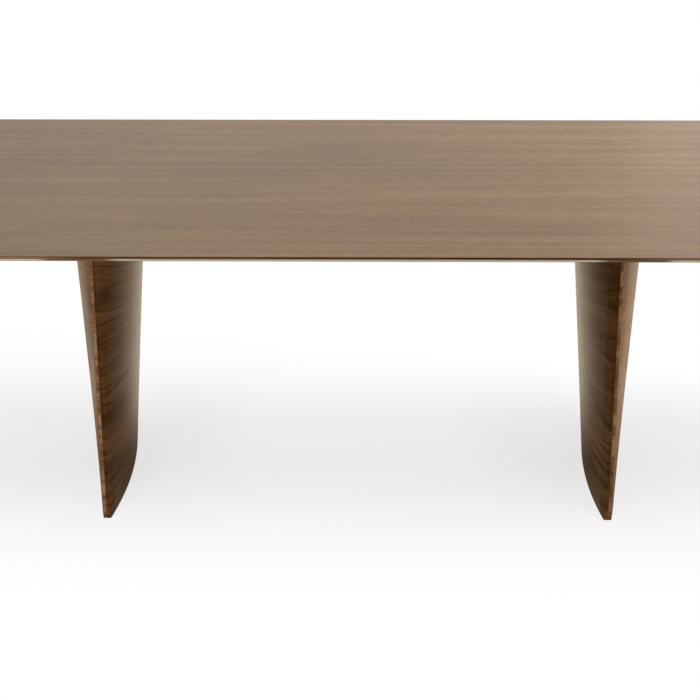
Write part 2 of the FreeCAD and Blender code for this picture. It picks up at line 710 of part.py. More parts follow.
def make_rib(label, side, cavity, bottom, thickness, holes):
    """Plywood rib: a slab cut to the room inside the leg, and bored."""
    slab = doc.addObject("Part::Box", f"{label}_slab")
    bind(slab, "Length", "leg_top_width")
    bind(slab, "Width", "leg_top_length")
    bind(slab, "Height", thickness)
    place(slab, "-leg_top_width/2", "-leg_top_length/2", bottom)
    rib = doc.addObject("Part::Common", f"{label}_outline")
    rib.Base = slab
    rib.Tool = cavity
    if holes:
        bores = doc.addObject("Part::Compound", f"{label}_bores")
        bores.Links = holes
        outline = rib
        rib = doc.addObject("Part::Cut", label)
        rib.Base = outline
        rib.Tool = bores
    keep(rib, label)
    leg_place(rib, side)


def screw_bores(label):
    """Pilot bores for the leg screws, from the top of the leg."""
    depth = "(screw_length - plate_thickness)"
    bores = []
    for column in (-1, 1):
        for line in ROWS_OF_THREE:
            name = f"{label}_bore_{len(bores) + 1}"
            x, y = f"{column}*screw_reach", f"{line}*screw_pitch"
            bottom = f"{UNDERSIDE} - {depth}"
            bores.append(bored_cylinder(name, x, y, bottom, "(screw_diameter + 2*fit_clearance)", depth))
    return bores


def glide_bores(label):
    """Stepped bores for the hubs and sleeves of the glides, right through the base rib."""
    bores = []
    for end_name, end in ENDS:
        y = f"{end}*glide_reach"
        hub, sleeve = "(hub_diameter + 2*hub_room)", "(sleeve_diameter + 2*fit_clearance)"
        hub_height = f"{SLEEVE_BOTTOM} - {FOOT_LEVEL}"
        bores.append(bored_cylinder(f"{label}_{end_name}_hub_bore", "0", y, FOOT_LEVEL, hub, hub_height))
        name = f"{label}_{end_name}_sleeve_bore"
        bores.append(bored_cylinder(name, "0", y, SLEEVE_BOTTOM, sleeve, "base_rib_thickness"))
    return bores


def make_leg(leg_name, side, cavity):
    inner_turn, outer_turn = (0, 180) if side < 0 else (180, 0)
    make_shell(f"{leg_name}_inner_shell", side, inner_turn)
    make_shell(f"{leg_name}_outer_shell", side, outer_turn)
    make_nose(f"{leg_name}_front_nose", side, 0)
    make_nose(f"{leg_name}_rear_nose", side, 180)
    top_rib, middle_rib, base_rib = (f"{leg_name}_{level}_rib" for level in ("top", "middle", "base"))
    thickness = "top_rib_thickness"
    make_rib(top_rib, side, cavity, f"{UNDERSIDE} - {thickness}", thickness, screw_bores(top_rib))
    make_rib(middle_rib, side, cavity, "middle_rib_height", "middle_rib_thickness", [])
    make_rib(base_rib, side, cavity, FOOT_LEVEL, "base_rib_thickness", glide_bores(base_rib))


# Glides

def make_sleeves(leg_name, side):
    """Threaded sleeves in the base rib that the glides screw into."""
    body = new_body(f"{leg_name}_glide_sleeves")
    bore, outer = "(stem_diameter/2 + fit_clearance)", "sleeve_diameter/2"
    end = f"({SLEEVE_BOTTOM} + sleeve_length)"
    profile = add_sketch(body, "profile", "XZ_Plane", z="glide_reach")
    polygon(profile, ((bore, SLEEVE_BOTTOM), (outer, SLEEVE_BOTTOM), (outer, end), (bore, end)))
    turned = revolve(body, profile)
    pair = body.newObject("PartDesign::LinearPattern", f"{body.Name}_pair")
    pair.Originals = [turned]
    pair.Direction = (origin_feature(body, "Y_Axis"), [""])
    pair.Occurrences = len(ENDS)
    bind(pair, "Length", "2*glide_reach")
    body.Tip = pair
    leg_place(body, side)


def make_glide(label, side, end):
    """Levelling glide: a foot that stays still on the floor, and a threaded stem that turns in its hub."""
    x, y = f"{side}*leg_spacing/2", f"{end}*glide_reach"
    foot = new_body(f"{label}_pad")
    rim, hub, hole = "pad_diameter/2", "hub_diameter/2", "key_hole_diameter/2"
    neck, chamber = "(stem_diameter/2 + fit_clearance)", "(collar_diameter/2 + fit_clearance)"
    profile = add_sketch(foot, "profile", "XZ_Plane")
    polygon(profile, (
        (hole, "0"),
        (f"({rim} - pad_bevel)", "0"),
        (rim, "pad_bevel"),
        (rim, "(pad_thickness - pad_bevel)"),
        (f"({rim} - pad_bevel)", "pad_thickness"),
        (hub, "pad_thickness"),
        (hub, f"({HUB_TOP} - pad_bevel)"),
        (f"({hub} - pad_bevel)", HUB_TOP),
        (neck, HUB_TOP),
        (neck, COLLAR_ROOF),
        (chamber, COLLAR_ROOF),
        (chamber, COLLAR_FLOOR),
        (hole, COLLAR_FLOOR),
    ))
    revolve(foot, profile)
    place(foot, x, y)

    stem = new_body(f"{label}_stem")
    collar, shank = "collar_diameter/2", "stem_diameter/2"
    collar_top = "(pad_thickness + collar_height)"
    end_height = f"({collar_top} + stem_length)"
    profile = add_sketch(stem, "profile", "XZ_Plane")
    polygon(profile, (
        ("0", "pad_thickness"),
        (collar, "pad_thickness"),
        (collar, collar_top),
        (shank, collar_top),
        (shank, f"({end_height} - stem_end_bevel)"),
        (f"({shank} - stem_end_bevel)", end_height),
        ("0", end_height),
    ))
    revolve(stem, profile)
    socket = add_sketch(stem, "socket", "XY_Plane", z="pad_thickness")
    hexagon(socket, "stem_key")
    pocket_up(stem, socket, "stem_key_depth")
    place(stem, x, y)


# Whole table

make_core()
make_veneers()
make_lippings()
for end_name, end in ENDS:
    make_stiffener(f"{end_name}_stiffener", end)
make_stiffener_screws()
leg_cavity = make_cavity()
for leg_name, side in SIDES:
    make_plate(leg_name, side)
    make_bolts(leg_name, side)
    make_inserts(leg_name, side)
    make_leg_screws(leg_name, side)
    make_leg(leg_name, side, leg_cavity)
    make_sleeves(leg_name, side)
    for end_name, end in ENDS:
        make_glide(f"{leg_name}_{end_name}_glide", side, end)
doc.recompute()

for item in doc.Objects:
    if "Invalid" in item.State or "Error" in item.State:
        raise RuntimeError(f"{item.Label} did not compute: {item.State}")
for node in nodes:
    if node.Shape.isNull() or not node.Shape.isValid():
        raise RuntimeError(f"{node.Label} has no valid shape")

os.makedirs("parts", exist_ok=True)
for node in nodes:
    node.Shape.exportStep(f"parts/{node.Label}.step")
    print(f"{node.Label}: {len(node.Shape.Solids)} solids, {node.Shape.Volume / 1000:.2f} cubic cm")
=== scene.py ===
import bmesh
import bpy
import math
from collections import namedtuple
from mathutils import Matrix, Vector


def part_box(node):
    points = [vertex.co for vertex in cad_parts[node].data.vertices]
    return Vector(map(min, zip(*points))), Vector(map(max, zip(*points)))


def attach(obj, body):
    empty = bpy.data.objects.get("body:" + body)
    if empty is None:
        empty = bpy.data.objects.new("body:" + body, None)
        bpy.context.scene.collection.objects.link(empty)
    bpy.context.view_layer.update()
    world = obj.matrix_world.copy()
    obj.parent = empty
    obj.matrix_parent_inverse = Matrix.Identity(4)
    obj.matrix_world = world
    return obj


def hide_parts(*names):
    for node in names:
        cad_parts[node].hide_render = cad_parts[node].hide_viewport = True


# A walnut dining table: a thin-edged veneered top on two legs of lens-shaped plan.
# Metres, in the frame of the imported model: X along the top, Y to the rear, Z up from the floor.

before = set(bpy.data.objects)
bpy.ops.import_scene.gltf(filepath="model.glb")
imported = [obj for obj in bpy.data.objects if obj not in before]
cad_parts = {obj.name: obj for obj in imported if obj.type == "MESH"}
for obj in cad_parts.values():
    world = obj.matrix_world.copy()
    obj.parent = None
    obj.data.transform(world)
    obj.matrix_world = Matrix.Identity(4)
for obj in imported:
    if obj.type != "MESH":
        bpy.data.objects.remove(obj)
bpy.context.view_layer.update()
scene = bpy.context.scene

# Words in the names of the pieces
LEGS = ("left", "right")
ENDS = ("front", "rear")
RIBS = ("top", "middle", "base")

# White, and the middle of a value that runs from 0 to 1
WHITE = (1.0, 1.0, 1.0, 1.0)
MIDDLE = 0.5

# Camera of the photograph, with its lens and sensor in millimetres
CAMERA_PLACE = Vector((0.0675, -5.401, 2.510))
CAMERA_TURN = math.radians(0.934)
CAMERA_DIP = math.radians(22.09)
CAMERA_ROLL = math.radians(-0.168)
CAMERA_LENS = 121.8
CAMERA_SENSOR = 36.0

# Light: levels are the brightness of a white level surface, and panel powers are in watts
AMBIENT_LEVEL = 0.41
OVERHEAD_LEVEL = 0.36
OVERHEAD_SOFTNESS = math.radians(80)
OVERHEAD_PLACE = (0.0, 0.0, 3.0)
Panel = namedtuple("Panel", "name place aim size power spread mirrored")
PANELS = (
    Panel("front_left_panel", place=(-1.2, -2.15, 0.60), aim=(-0.6, -0.36, 0.36),
          size=0.7, power=1.9, spread=math.radians(45), mirrored=False),
    Panel("front_right_panel", place=(1.8, -2.15, 0.85), aim=(1.8, 0.0, 0.45),
          size=0.9, power=10.0, spread=math.radians(100), mirrored=False),
    Panel("side_panel", place=(2.6, -0.25, 0.40), aim=(0.65, -0.1, 0.52),
          size=0.4, power=1.0, spread=math.radians(30), mirrored=False),
    Panel("over_panel", place=(1.35, 0.5, 2.6), aim=(1.35, 0.5, 0.75),
          size=1.2, power=36.0, spread=math.radians(180), mirrored=False),
    Panel("rear_panel", place=(2.1, 5.0, 2.5), aim=(0.8, 0.0, 0.75),
          size=1.8, power=5.0, spread=math.radians(180), mirrored=True),
)

# Floor, and the share of the table's shadow that shows on it
FLOOR_SIDE = 40.0
FLOOR_BOUNCE = (0.8, 0.8, 0.8, 1.0)
SHADOW_SHARE_MIDDLE = 0.24
SHADOW_SHARE_SIDE = 0.28
SHADOW_SIDE = (0.20, 0.50)
SHADOW_MIDDLE = 0.18
SHADOW_FADE_ACROSS = (0.12, 0.95)
SHADOW_FADE_ALONG = (1.0, 1.9)

# Floor as the oil mirrors it: warm, shaded under the table and dimmer towards the left
MIRRORED_COLOUR = (1.0, 0.86, 0.66, 1.0)
MIRRORED_SHADE_COLOUR = (0.76, 0.65, 0.50, 1.0)
MIRRORED_FADE_ACROSS = (0.0, 0.85)
MIRRORED_FADE_ALONG = (0.82, 1.02)
MIRRORED_LEFT_COLOUR = (0.58, 0.51, 0.41, 1.0)
MIRRORED_LEFT_FADE = (-1.6, -0.9)

# Painted shade on the floor beside the legs, as the bevels mirror it
BESIDE_PAINTED_SHADE = (0.16, 0.115, 0.085, 1.0)
BESIDE_CENTRE = -0.017
BESIDE_FADE_IN = (0.66, 0.72)
BESIDE_FADE_OUT = (0.865, 0.905)
BESIDE_OUTSIDE_SHARE = 0.15
BESIDE_MIDDLE = 0.78
BESIDE_FADE_ACROSS = (0.14, 0.24)

# Figure of the wood: changes in a metre, spans of the noise that turn into tone, and depths
DRIFT_RATES = (1.1, 2.6, 2.6)
WAVE_RATES = (1.7, 3.1, 1.3)
STREAK_RATE = 1.3
LINE_RATE = 0.8
PORE_RATE = 70.0
PORE_WIDTH_SHARE = 0.35
NOISE_SPAN = (0.3, 0.7)
PORE_SPAN = (0.6, 0.72)
PORE_DEPTH = 0.35
GRAIN_HEIGHT = 0.0003

# Run of the grain on the legs: it falls to the rear from a line near the front, and more near the top.
# The leaf of each leg is shifted, so that the legs differ, and changes slowly through its depth.
RUN_HEIGHTS = (0.2, 0.7)
RUN_SLOPES = (0.03, 0.35)
RUN_FRONT = 0.33
LEAF_SHIFT = 0.37
LEAF_DEPTH_RATE = 0.2

# Cuts of wood: tones go from dark to light, and weights share them between streaks, fibres and drift.
# A fibre rate is the changes in a metre along the grain.
Cut = namedtuple(
    "Cut",
    "tones weights streak_width wander fibre_width line_depth relief line_count line_blur fibre_rate",
    defaults=(1.0, 0.07, 7.0))
TOP_CUT = Cut(
    tones=((0.092, 0.044, 0.010), (0.159, 0.082, 0.024), (0.231, 0.130, 0.050)),
    weights=(0.33, 0.38, 0.29),
    streak_width=0.026, wander=0.010, fibre_width=0.004, line_depth=0.08, relief=0.12, fibre_rate=45.0)
BACKING_CUT = Cut(
    tones=TOP_CUT.tones,
    weights=(0.40, 0.25, 0.35),
    streak_width=0.03, wander=0.03, fibre_width=0.003, line_depth=0.2, relief=0.12)
EDGE_CUT = Cut(
    tones=((0.030, 0.012, 0.003), (0.075, 0.032, 0.010), (0.140, 0.068, 0.026)),
    weights=(0.42, 0.38, 0.20),
    streak_width=0.010, wander=0.004, fibre_width=0.002, line_depth=0.2, relief=0.12)
INNER_CUT = Cut(
    tones=((0.060, 0.024, 0.007), (0.175, 0.080, 0.026), (0.280, 0.142, 0.057)),
    weights=(0.34, 0.26, 0.40),
    streak_width=0.05, wander=0.06, fibre_width=0.004, line_depth=0.66, relief=0.05,
    line_count=5.0, line_blur=0.22)
OUTER_CUT = INNER_CUT._replace(line_depth=0.3, line_count=1.0, line_blur=0.07)
STRIP_CUT = Cut(
    tones=((0.053, 0.022, 0.008), (0.213, 0.106, 0.050), (0.350, 0.199, 0.108)),
    weights=(0.50, 0.30, 0.20),
    streak_width=0.035, wander=0.004, fibre_width=0.004, line_depth=0.6, relief=0.05)

# Film on the wood, with its gloss as a specular level, and the roughness that raised fibres add
Film = namedtuple("Film", "roughness gloss")
LACQUER = Film(roughness=0.20, gloss=0.17)
OIL = Film(roughness=0.4, gloss=0.0)
SEALER = Film(roughness=0.5, gloss=0.0)
FIBRE_ROUGHNESS = 0.08

# Sheen of an oiled surface by how it faces: 0 is square on and 1 is edge on
Sheen = namedtuple("Sheen", "facing weight roughness")
INNER_SHEEN = Sheen(facing=(0.55, 0.94), weight=0.71, roughness=0.2)
OUTER_SHEEN = Sheen(facing=(0.46, 0.95), weight=0.58, roughness=0.25)
NOSE_SHEEN = Sheen(facing=(0.57, 1.0), weight=0.50, roughness=0.2)
EDGE_SHEEN = Sheen(facing=(0.40, 0.88), weight=1.0, roughness=0.08)

# Bevel under the edge: the heights between which its oil thins, and what is left at the upper arris
BEVEL_LOW = 0.7275
BEVEL_HIGH = 0.745
BEVEL_THIN_FILM = 0.22

# Painted light: the lippings are made paler towards their ends, where more light and sheen fall, from
# and to these distances from the middle
PAINTED_PALE_EDGE = (0.23, 0.125, 0.070, 1.0)
PAINTED_PALE_EDGE_FADE = (0.55, 0.74)
PAINTED_PALE_EDGE_SHARE = 0.75

# Pale strip on the front of each nose: its inner border, outwards from the middle of the leg
LEG_TOP = 0.722
LEG_MIDDLE = 0.5985
STRIP_BORDER_FOOT = 0.0012
STRIP_BORDER_TOP = 0.0004
STRIP_BLUR = 0.0006
NOSE_FRONT = (0.70, 0.92)

# Painted shade on the nose beside the strip, darkening the veneer there, with less of it at the foot
BESIDE_STRIP_PAINTED_SHADE = (0.42, 0.40, 0.38, 1.0)
BESIDE_STRIP_SHADE_FADE = (0.0, 0.15)
BESIDE_STRIP_FOOT_SHADE_SHARE = 0.45

# Plywood of the ribs: one light and one dark ply to a pair
PLY_PAIR = 0.0028
PLY_BORDER = (0.2, 0.3)
PLY_TONES = ((0.1, (0.50, 0.33, 0.18)), (0.9, (0.30, 0.18, 0.09)))
PLY_SHARE = 0.6
PLY_FIBRE_SHARE = 0.4
PLY_FIBRE_RATE = 300.0
PLY_ROUGHNESS = 0.6
PLY_FIBRE_ROUGHNESS = 0.2
PLY_RELIEF = 0.2
PLY_HEIGHT = 0.0002

# Pressed, painted, plated, turned and moulded finishes: a dark and a light shade, and the grain
Coat = namedtuple("Coat", "name dark light grain_size roughness metallic relief")
COATS = {
    "core": Coat(
        "fibreboard", dark=(0.24, 0.15, 0.08), light=(0.34, 0.23, 0.13),
        grain_size=0.0009, roughness=0.75, metallic=0.0, relief=0.2),
    "black_steel": Coat(
        "black_powder_coat", dark=(0.008, 0.008, 0.009), light=(0.02, 0.02, 0.021),
        grain_size=0.0005, roughness=0.42, metallic=0.0, relief=0.25),
    "zinc": Coat(
        "zinc_plated_steel", dark=(0.50, 0.50, 0.49), light=(0.66, 0.66, 0.64),
        grain_size=0.0012, roughness=0.28, metallic=1.0, relief=0.05),
    "brass": Coat(
        "turned_brass", dark=(0.55, 0.36, 0.12), light=(0.72, 0.50, 0.20),
        grain_size=0.0012, roughness=0.25, metallic=1.0, relief=0.05),
    "nylon": Coat(
        "black_nylon", dark=(0.012, 0.012, 0.012), light=(0.03, 0.03, 0.03),
        grain_size=0.0007, roughness=0.5, metallic=0.0, relief=0.15),
}
COAT_DARK = 0.2
COAT_LIGHT = 0.8
CLOUD_RATES = (9.0, 9.0, 9.0)
CLOUD_ROUGHNESS = 0.12
GRAIN_HEIGHT_SHARE = 0.3

# Softened arrises of the top
VENEER_ARRIS = 0.0002
LIPPING_ARRIS = 0.0005
ARRIS_STEPS = 2
ARRIS_ANGLE = math.radians(25)
ARRIS_WELD = 0.00002

# Threaded stems of the glides
STEM_RADIUS = 0.004
STEM_END_BEVEL = 0.001
COLLAR_RADIUS = 0.0055
COLLAR_HEIGHT = 0.0025
KEY_WIDTH = 0.004
KEY_DEPTH = 0.004
KEY_SIDES = 6
THREAD_PITCH = 0.00125
THREAD_DEPTH = 0.0007
THREAD_WELD = 0.00001
RUN_OUT_TURNS = 2
STEPS_PER_TURN = 36

# One turn of the thread: shares of the pitch, and how far out of the groove each lies
THREAD_FORM = ((0.0, 0.0), (0.125, 0.0), (0.5, 1.0), (0.625, 1.0))


# Node recipes

class Recipe:
    """Adds nodes to one node tree. A socket is fed a plain value or the output of another node."""

    def __init__(self, tree):
        self.tree = tree

    def feed(self, socket, value):
        if isinstance(value, bpy.types.NodeSocket):
            self.tree.links.new(value, socket)
        else:
            socket.default_value = value

    def node(self, kind, feeds=None, **settings):
        made = self.tree.nodes.new(kind)
        for name, value in settings.items():
            setattr(made, name, value)
        for socket, value in (feeds or {}).items():
            self.feed(made.inputs[socket], value)
        return made

    def group(self, tree, feeds):
        return self.node("ShaderNodeGroup", feeds, node_tree=tree).outputs

    def maths(self, operation, first, second=0.0):
        return self.node("ShaderNodeMath", {0: first, 1: second}, operation=operation).outputs[0]

    def plus(self, first, second):
        return self.maths("ADD", first, second)

    def minus(self, first, second):
        return self.maths("SUBTRACT", first, second)

    def times(self, first, second):
        return self.maths("MULTIPLY", first, second)

    def over(self, first, second):
        return self.maths("DIVIDE", first, second)

    def without_sign(self, value):
        return self.maths("ABSOLUTE", value)

    def gap(self, first, second):
        return self.without_sign(self.minus(first, second))

    def split(self, vector):
        return self.node("ShaderNodeSeparateXYZ", {0: vector}).outputs

    def join(self, x, y, z):
        return self.node("ShaderNodeCombineXYZ", {0: x, 1: y, 2: z}).outputs[0]

    def stretch(self, vector, scale):
        made = self.node("ShaderNodeVectorMath", {0: vector, 1: scale}, operation="MULTIPLY")
        return made.outputs[0]

    def noise(self, vector, detail=2.0, roughness=0.5):
        feeds = {"Vector": vector, "Scale": 1.0, "Detail": detail, "Roughness": roughness}
        return self.node("ShaderNodeTexNoise", feeds).outputs[0]

    def remap(self, value, low, high, to_low=0.0, to_high=1.0):
        feeds = {"Value": value, "From Min": low, "From Max": high, "To Min": to_low, "To Max": to_high}
        made = self.node("ShaderNodeMapRange", feeds, interpolation_type="SMOOTHSTEP")
        return made.outputs[0]

    def fade(self, value, limits):
        return self.remap(value, *limits, 1.0, 0.0)

    def ramp(self, value, stops):
        made = self.node("ShaderNodeValToRGB", {0: value})
        elements = made.color_ramp.elements
        while len(elements) < len(stops):
            elements.new(MIDDLE)
        for element, (position, colour) in zip(elements, stops):
            element.position = position
            element.color = (*colour, 1.0)
        return made.outputs[0]

    def mix(self, factor, first, second, blend="MIX"):
        made = self.node("ShaderNodeMix", data_type="RGBA", blend_type=blend)
        colours = [socket for socket in made.inputs if socket.type == "RGBA"]
        self.feed(made.inputs[0], factor)
        self.feed(colours[0], first)
        self.feed(colours[1], second)
        return next(socket for socket in made.outputs if socket.type == "RGBA")

    def bump(self, height, strength, distance):
        feeds = {"Strength": strength, "Distance": distance, "Height": height}
        return self.node("ShaderNodeBump", feeds).outputs[0]

    def glow(self, colour):
        return self.node("ShaderNodeEmission", {"Color": colour, "Strength": 1.0}).outputs[0]

    def matt(self, colour):
        return self.node("ShaderNodeBsdfDiffuse", {"Color": colour}).outputs[0]

    def blend(self, share, first, second):
        return self.node("ShaderNodeMixShader", {0: share, 1: first, 2: second}).outputs[0]


def new_group(name, inputs, outputs):
    """Start a shader node group with named sockets, and return its recipe, inputs and outputs."""
    tree = bpy.data.node_groups.new(name, "ShaderNodeTree")
    for socket, kind in inputs:
        tree.interface.new_socket(socket, in_out="INPUT", socket_type=kind)
    for socket, kind in outputs:
        tree.interface.new_socket(socket, in_out="OUTPUT", socket_type=kind)
    entry = tree.nodes.new("NodeGroupInput")
    leave = tree.nodes.new("NodeGroupOutput")
    return Recipe(tree), entry.outputs, leave.inputs


def new_material(name):
    """Start a material, and return it with its recipe and its Principled BSDF."""
    material = bpy.data.materials.new(name)
    material.use_nodes = True
    recipe = Recipe(material.node_tree)
    return material, recipe, material.node_tree.nodes["Principled BSDF"]


def local_place(recipe):
    """Place on the piece, which for the wood is also its place in the frame."""
    return recipe.node("ShaderNodeTexCoord").outputs["Object"]


# Shared effects

VALUE = "NodeSocketFloat"
VECTOR = "NodeSocketVector"


def make_wood_grain():
    """Figure of sliced wood: X runs along the grain, Y across it and Z through the leaf."""
    inputs = (
        ("Place", VECTOR), ("Streak Width", VALUE), ("Wander", VALUE), ("Fibre Width", VALUE),
        ("Fibre Rate", VALUE), ("Line Count", VALUE), ("Line Blur", VALUE))
    outputs = (
        ("Streaks", VALUE), ("Lines", VALUE), ("Fibres", VALUE), ("Pores", VALUE), ("Drift", VALUE))
    recipe, given, result = new_group("wood_grain", inputs, outputs)
    along, across, through = recipe.split(given["Place"])
    drift = recipe.noise(recipe.stretch(given["Place"], DRIFT_RATES), detail=2.0)
    wave = recipe.noise(recipe.stretch(given["Place"], WAVE_RATES), detail=1.5)
    bent = recipe.plus(across, recipe.times(recipe.minus(wave, MIDDLE), given["Wander"]))

    def layer(length_rate, width, detail):
        place = recipe.join(
            recipe.times(along, length_rate), recipe.over(bent, width), recipe.over(through, width))
        return recipe.noise(place, detail=detail)

    streaks = layer(STREAK_RATE, given["Streak Width"], detail=3.0)
    line_field = layer(LINE_RATE, given["Streak Width"], detail=1.0)
    in_line = recipe.maths("FRACT", recipe.times(line_field, given["Line Count"]))
    line_gap = recipe.gap(in_line, MIDDLE)
    fibres = layer(given["Fibre Rate"], given["Fibre Width"], detail=2.0)
    pores = layer(PORE_RATE, recipe.times(given["Fibre Width"], PORE_WIDTH_SHARE), detail=1.0)
    recipe.feed(result["Streaks"], recipe.remap(streaks, *NOISE_SPAN))
    recipe.feed(result["Lines"], recipe.remap(line_gap, 0.0, given["Line Blur"], 1.0, 0.0))
    recipe.feed(result["Fibres"], recipe.remap(fibres, *NOISE_SPAN))
    recipe.feed(result["Pores"], recipe.remap(pores, *PORE_SPAN))
    recipe.feed(result["Drift"], recipe.remap(drift, *NOISE_SPAN))
    return recipe.tree


def make_leg_run():
    """Where the grain of a leg runs: level near the foot, and falling to the rear towards the top."""
    recipe, given, result = new_group("leg_run", (("Place", VECTOR),), (("Run", VECTOR),))
    x, y, z = recipe.split(given["Place"])
    slope = recipe.remap(z, *RUN_HEIGHTS, *RUN_SLOPES)
    fall = recipe.times(slope, recipe.plus(y, RUN_FRONT))
    shift = recipe.times(recipe.maths("SIGN", x), LEAF_SHIFT)
    across = recipe.plus(recipe.plus(z, fall), shift)
    through = recipe.times(recipe.without_sign(x), LEAF_DEPTH_RATE)
    recipe.feed(result["Run"], recipe.join(y, across, through))
    return recipe.tree


def make_speckle():
    """Fine grain of a pressed, coated or moulded surface, with slow changes over it."""
    inputs = (("Place", VECTOR), ("Size", VALUE))
    outputs = (("Grains", VALUE), ("Clouds", VALUE))
    recipe, given, result = new_group("speckle", inputs, outputs)
    rate = recipe.over(1.0, given["Size"])
    grains = recipe.noise(recipe.stretch(given["Place"], recipe.join(rate, rate, rate)), detail=2.0)
    clouds = recipe.noise(recipe.stretch(given["Place"], CLOUD_RATES), detail=3.0)
    recipe.feed(result["Grains"], recipe.remap(grains, *NOISE_SPAN))
    recipe.feed(result["Clouds"], recipe.remap(clouds, *NOISE_SPAN))
    return recipe.tree


WOOD_GRAIN = make_wood_grain()
LEG_RUN = make_leg_run()
SPECKLE = make_speckle()


# Lays of the grain

def along_table(recipe):
    """Grain along the table, as on the top and its long edges."""
    return local_place(recipe)


def across_table(recipe):
    """Grain across the table, along its end edges."""
    x, y, z = recipe.split(local_place(recipe))
    return recipe.join(y, x, z)


def along_leg(recipe):
    """Grain round the leg, from the front nose to the rear one."""
    return recipe.group(LEG_RUN, {"Place": local_place(recipe)})["Run"]


def across_nose(recipe):
    """Grain across the front of a nose, with its layers one above the other."""
    x, y, z = recipe.split(local_place(recipe))
    return recipe.join(x, z, y)


# Finishes

def wood_layers(recipe, run, cut):
    """Colour, fibres and raised grain of one cut of wood whose grain follows a run."""
    grain = recipe.group(WOOD_GRAIN, {
        "Place": run,
        "Streak Width": cut.streak_width,
        "Wander": cut.wander,
        "Fibre Width": cut.fibre_width,
        "Fibre Rate": cut.fibre_rate,
        "Line Count": cut.line_count,
        "Line Blur": cut.line_blur,
    })
    tone = 0.0
    for layer, weight in zip(("Streaks", "Fibres", "Drift"), cut.weights):
        tone = recipe.plus(tone, recipe.times(grain[layer], weight))
    last = len(cut.tones) - 1
    colour = recipe.ramp(tone, [(index / last, shade) for index, shade in enumerate(cut.tones)])
    dark = (*cut.tones[0], 1.0)
    colour = recipe.mix(recipe.times(grain["Lines"], cut.line_depth), colour, dark)
    colour = recipe.mix(recipe.times(grain["Pores"], PORE_DEPTH), colour, dark)
    raised = recipe.minus(grain["Fibres"], grain["Pores"])
    return colour, grain["Fibres"], recipe.bump(raised, cut.relief, GRAIN_HEIGHT)


def finish_wood(recipe, surface, colour, fibres, normal, film):
    """Lacquer, oil or sealer over a wood colour."""
    recipe.feed(surface.inputs["Base Color"], colour)
    rough = recipe.plus(film.roughness, recipe.times(fibres, FIBRE_ROUGHNESS))
    recipe.feed(surface.inputs["Roughness"], rough)
    surface.inputs["Specular IOR Level"].default_value = film.gloss
    recipe.feed(surface.inputs["Normal"], normal)


def add_sheen(recipe, surface, sheen, thickness=None):
    """Sheen of oil that mirrors only at a glancing angle. Its thickness is a share of the full film."""
    facing = recipe.node("ShaderNodeLayerWeight", {"Blend": MIDDLE}).outputs["Facing"]
    weight = recipe.remap(facing, *sheen.facing, 0.0, sheen.weight)
    if thickness is not None:
        weight = recipe.times(weight, thickness)
    recipe.feed(surface.inputs["Coat Weight"], weight)
    surface.inputs["Coat Roughness"].default_value = sheen.roughness


def wood_finish(name, lay, cut, film, sheen=None):
    """One cut of wood under its film, all over a piece."""
    material, recipe, surface = new_material(name)
    colour, fibres, normal = wood_layers(recipe, lay(recipe), cut)
    finish_wood(recipe, surface, colour, fibres, normal, film)
    if sheen:
        add_sheen(recipe, surface, sheen)
    return material


def edge_finish(name, lay):
    """Lipping, made paler at its ends by painted light, with oil that is thin at the arris and full low
    on the bevel.
    """
    material, recipe, surface = new_material(name)
    colour, fibres, normal = wood_layers(recipe, lay(recipe), EDGE_CUT)
    place = recipe.split(local_place(recipe))
    # Painted light: the colour turns paler towards the ends of the lipping
    pale = recipe.remap(recipe.without_sign(place["X"]), *PAINTED_PALE_EDGE_FADE, 0.0, PAINTED_PALE_EDGE_SHARE)
    colour = recipe.mix(pale, colour, PAINTED_PALE_EDGE)
    finish_wood(recipe, surface, colour, fibres, normal, OIL)
    thickness = recipe.remap(place["Z"], BEVEL_LOW, BEVEL_HIGH, 1.0, BEVEL_THIN_FILM)
    add_sheen(recipe, surface, EDGE_SHEEN, thickness)
    return material


def nose_finish():
    """Veneer of the two shells on the sides, and a front with a pale strip beside veneer darkened by
    painted shade.
    """
    material, recipe, surface = new_material("walnut_nose")
    inner_side, fibres, normal = wood_layers(recipe, along_leg(recipe), INNER_CUT)
    outer_side = wood_layers(recipe, along_leg(recipe), OUTER_CUT)[0]
    pale = wood_layers(recipe, across_nose(recipe), STRIP_CUT)[0]
    place = recipe.split(local_place(recipe))
    outward = recipe.minus(recipe.without_sign(place["X"]), LEG_MIDDLE)
    side = recipe.mix(recipe.remap(outward, -STRIP_BLUR, STRIP_BLUR), inner_side, outer_side)
    # Painted shade: the veneer beside the strip is darkened, less so towards the foot
    beside_shade_share = recipe.remap(place["Z"], *BESIDE_STRIP_SHADE_FADE, BESIDE_STRIP_FOOT_SHADE_SHARE, 1.0)
    dark = recipe.mix(beside_shade_share, side, BESIDE_STRIP_PAINTED_SHADE, "MULTIPLY")
    border = recipe.remap(place["Z"], 0.0, LEG_TOP, STRIP_BORDER_FOOT, STRIP_BORDER_TOP)
    in_strip = recipe.remap(recipe.minus(outward, border), -STRIP_BLUR, STRIP_BLUR)
    front = recipe.mix(in_strip, dark, pale)
    facing = recipe.split(recipe.node("ShaderNodeTexCoord").outputs["Normal"])
    faces_front = recipe.remap(recipe.without_sign(facing["Y"]), *NOSE_FRONT)
    colour = recipe.mix(faces_front, side, front)
    finish_wood(recipe, surface, colour, fibres, normal, OIL)
    add_sheen(recipe, surface, NOSE_SHEEN)
    return material


